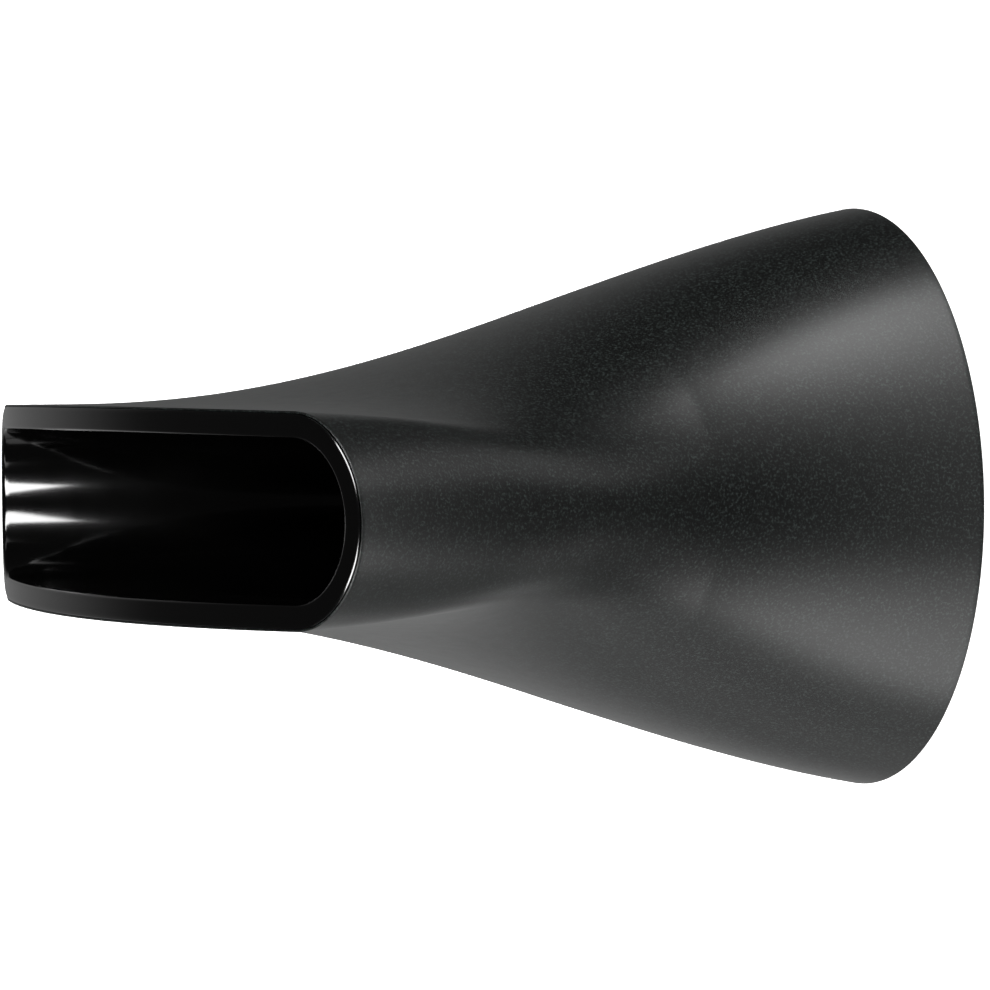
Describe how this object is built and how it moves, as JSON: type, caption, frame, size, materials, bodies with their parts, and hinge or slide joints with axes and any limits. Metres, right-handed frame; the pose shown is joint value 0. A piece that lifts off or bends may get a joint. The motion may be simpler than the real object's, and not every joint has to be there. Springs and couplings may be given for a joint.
{
  "type": "hair dryer concentrator nozzle",
  "caption": "Double-walled concentrator nozzle that narrows a hair dryer's round outlet to a wide flat slot, with a sprung push-on socket in its base.",
  "frame": {"origin": "centre of the round base rim, on the plane that the nozzle stands on", "axes": "+Z with the air, from the base towards the slot; X along the slot's long side; Y across the slot"},
  "size_m": [0.088, 0.0498, 0.07],
  "materials": {
    "shell": "spark-eroded matt black with a fine pale fleck",
    "duct": "polished black",
    "collar": "plain moulded black, satin",
    "spring": "drawn spring wire",
    "seal": "dark grey silicone, matt"
  },
  "bodies": {
    "root": {"outer_shell": "shell", "inner_duct": "duct", "coupling_collar": "collar", "grip_spring": "spring", "seal_ring": "seal"}
  },
  "joints": []
}
